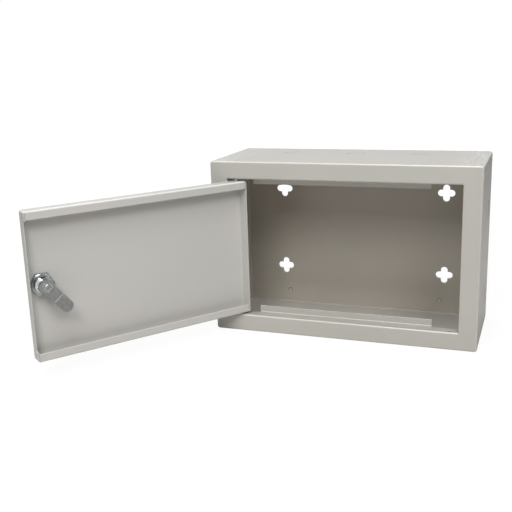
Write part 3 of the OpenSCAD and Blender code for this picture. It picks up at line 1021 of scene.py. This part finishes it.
@dataclass
class CamLock(SubAssembly):
    """The lock's case and the core that turns in it."""

    def coats(self) -> dict[str, Finish]:
        """Says which finish each of its nodes has.

        Returns:
            Finishes by the nodes' names.
        """
        wafers = {f"wafer_{number}": BRASS for number in range(1, 6)}
        return {
            "lock_housing": CHROME,
            "lock_nut": NICKEL,
            "lock_plug": CHROME,
            **wafers,
            "wafer_springs": SPRING,
            "stop_plate": ZINC,
            "lock_cam": CAM_ZINC,
            "cam_washer": SCREW_STEEL,
            "cam_screw": SCREW_STEEL,
        }


# ---- Studio --------------------------------------------------------------------------------


@dataclass(frozen=True)
class SoftBox:
    """A square area light.

    Attributes:
        name: Name of the light.
        place: Where it stands, in metres.
        target: What it points at, in metres.
        size: Its side in metres.
        power: Its power in watts.
    """

    name: str
    place: Place
    target: Place
    size: float
    power: float

    def build(self) -> None:
        """Adds the light to the scene."""
        data = bpy.data.lights.new(self.name, "AREA")
        data.shape = "SQUARE"
        data.size = self.size
        data.energy = self.power
        light = bpy.data.objects.new(self.name, data)
        light.location = self.place
        aim = Vector(self.target) - Vector(self.place)
        light.rotation_euler = aim.to_track_quat("-Z", "Y").to_euler()
        bpy.context.scene.collection.objects.link(light)


LAMPS = (
    SoftBox("front_lamp", (0.0, -1.45, 1.08), (0.0, -0.05, 0.0), 0.6, 10.3),
    SoftBox("upper_lamp", (0.0, -0.9, 1.5), (0.0, -0.05, 0.0), 0.5, 7.5),
    SoftBox("key_lamp", (0.85, -1.15, 1.15), (0.0, -0.05, 0.0), 0.6, 8.1),
    SoftBox("top_lamp", (0.0, -0.1, 1.6), (0.0, -0.1, 0.0), 0.45, 5.0),
    SoftBox("rear_lamp", (-0.95, 0.7, 1.2), (0.0, -0.05, 0.0), 0.8, 8.0),
)


def white_share(wiring: Wiring, mirror_level: float) -> Socket:
    """Gives how white a backdrop is: all on direct rays, less in mirrors, nothing as light.

    Args:
        wiring: Wiring of the world or of the backdrop's material.
        mirror_level: What rays that mirror the backdrop get.

    Returns:
        The share of white.
    """
    path = wiring.add("ShaderNodeLightPath")
    mirrored = wiring.math("MAXIMUM", path.outputs["Is Glossy Ray"], path.outputs["Is Transmission Ray"])
    dimmed = wiring.math("MULTIPLY", mirrored, mirror_level)
    return wiring.math("MAXIMUM", path.outputs["Is Camera Ray"], dimmed)


@dataclass
class Studio:
    """Camera, floor, world and lamps round the part.

    Attributes:
        floor_z: Height of the floor in metres.
        lamps: The lamps.
        camera_place: Where the camera stands, in metres.
        camera_turn: The camera's turn about X, Y and Z, in degrees.
        lens: Focal length in millimetres.
        sensor: Width of the camera's sensor in millimetres.
        near_clip: Nearest distance that the camera shows, in metres.
        ambient: Strength of the world on the part.
        floor_reach: Half of the floor's side in metres.
        floor_colour: Colour of the floor as the lamps light it.
        floor_glow: Strength of the floor's white.
        near_white: Share of white near the part, where the floor keeps a shadow.
        near_reach: Distance at which the floor starts to turn white, in metres.
        far_reach: Distance from which it is white.
    """

    floor_z: float
    lamps: tuple[SoftBox, ...] = LAMPS
    camera_place: Place = (0.2077, -0.9337, 0.2197)
    camera_turn: Place = (75.305, 1.817, 20.097)
    lens: float = 55.19
    sensor: float = 36.0
    near_clip: float = 0.01
    ambient: float = 0.06
    floor_reach: float = 6.0
    floor_colour: Colour = (0.76, 0.742, 0.718)
    floor_glow: float = 1.06
    near_white: float = 0.88
    near_reach: float = 0.4
    far_reach: float = 0.9

    def build(self) -> None:
        """Adds the studio to the scene."""
        bpy.context.scene.view_settings.view_transform = "Standard"
        self.add_camera()
        self.add_world()
        self.add_floor()
        for lamp in self.lamps:
            lamp.build()

    def add_camera(self) -> None:
        """Adds the camera."""
        data = bpy.data.cameras.new("camera")
        data.lens = self.lens
        data.sensor_width = self.sensor
        data.clip_start = self.near_clip
        camera = bpy.data.objects.new("camera", data)
        camera.location = self.camera_place
        camera.rotation_euler = Euler([math.radians(turn) for turn in self.camera_turn])
        bpy.context.scene.collection.objects.link(camera)
        bpy.context.scene.camera = camera

    def add_world(self) -> None:
        """Adds a world that is white to the camera, pale in mirrors and dim as light."""
        world = bpy.data.worlds.new("studio")
        world.use_nodes = True
        world.node_tree.nodes.clear()
        wiring = Wiring(world.node_tree)
        skies = []
        for strength in (self.ambient, 1.0):
            sky = wiring.add("ShaderNodeBackground")
            wiring.feed(sky.inputs["Color"], (1.0, 1.0, 1.0))
            wiring.feed(sky.inputs["Strength"], strength)
            skies.append(sky.outputs[0])
        leave = wiring.add("ShaderNodeOutputWorld")
        wiring.blend(white_share(wiring, MIRRORED_SKY), *skies, leave)
        bpy.context.scene.world = world

    def floor_material(self) -> bpy.types.Material:
        """Makes the floor's material.

        Returns:
            A matt material that goes to white away from the part.
        """
        material = bpy.data.materials.new("pale_floor")
        material.use_nodes = True
        material.node_tree.nodes.clear()
        wiring = Wiring(material.node_tree)
        matt = wiring.add("ShaderNodeBsdfDiffuse")
        wiring.feed(matt.inputs["Color"], self.floor_colour)
        glow = wiring.add("ShaderNodeEmission")
        wiring.feed(glow.inputs["Strength"], self.floor_glow)
        reach = wiring.add("ShaderNodeVectorMath", operation="LENGTH")
        wiring.join(wiring.on_piece(), reach.inputs[0])
        away = wiring.ramp(reach.outputs["Value"], low=self.near_reach, high=self.far_reach)
        share = wiring.math("ADD", wiring.math("MULTIPLY", away, 1.0 - self.near_white), self.near_white)
        shown = wiring.math("MULTIPLY", white_share(wiring, MIRRORED_FLOOR), share)
        leave = wiring.add("ShaderNodeOutputMaterial")
        wiring.blend(shown, matt.outputs[0], glow.outputs[0], leave)
        return material

    def add_floor(self) -> None:
        """Adds a pale floor that goes to white and keeps a soft shadow."""
        shape = bmesh.new()
        bmesh.ops.create_grid(shape, x_segments=1, y_segments=1, size=self.floor_reach)
        bmesh.ops.translate(shape, verts=shape.verts, vec=(0, 0, self.floor_z))
        floor = object_from(shape, "floor")
        floor.data.materials.append(self.floor_material())


# ---- The whole -----------------------------------------------------------------------------


def main() -> None:
    """Builds the dressed part and its studio."""
    logging.basicConfig(level=logging.INFO, format="%(message)s")
    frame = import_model()
    finishes = Finishes()
    for kind in (EnclosureBody, Door, CamLock):
        kind(frame["nodes"], finishes).build()
    PanelBead.between("body_shell", "back_panel").build(finishes)
    lock = next(joint for joint in frame["joints"] if joint["name"] == "cam_turn")
    CaseThread(Vector(lock["pos_m"]), Vector(lock["axis"])).build(finishes)
    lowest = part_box("body_shell")[0].z
    Studio(floor_z=lowest).build()


if __name__ == "__main__":
    main()
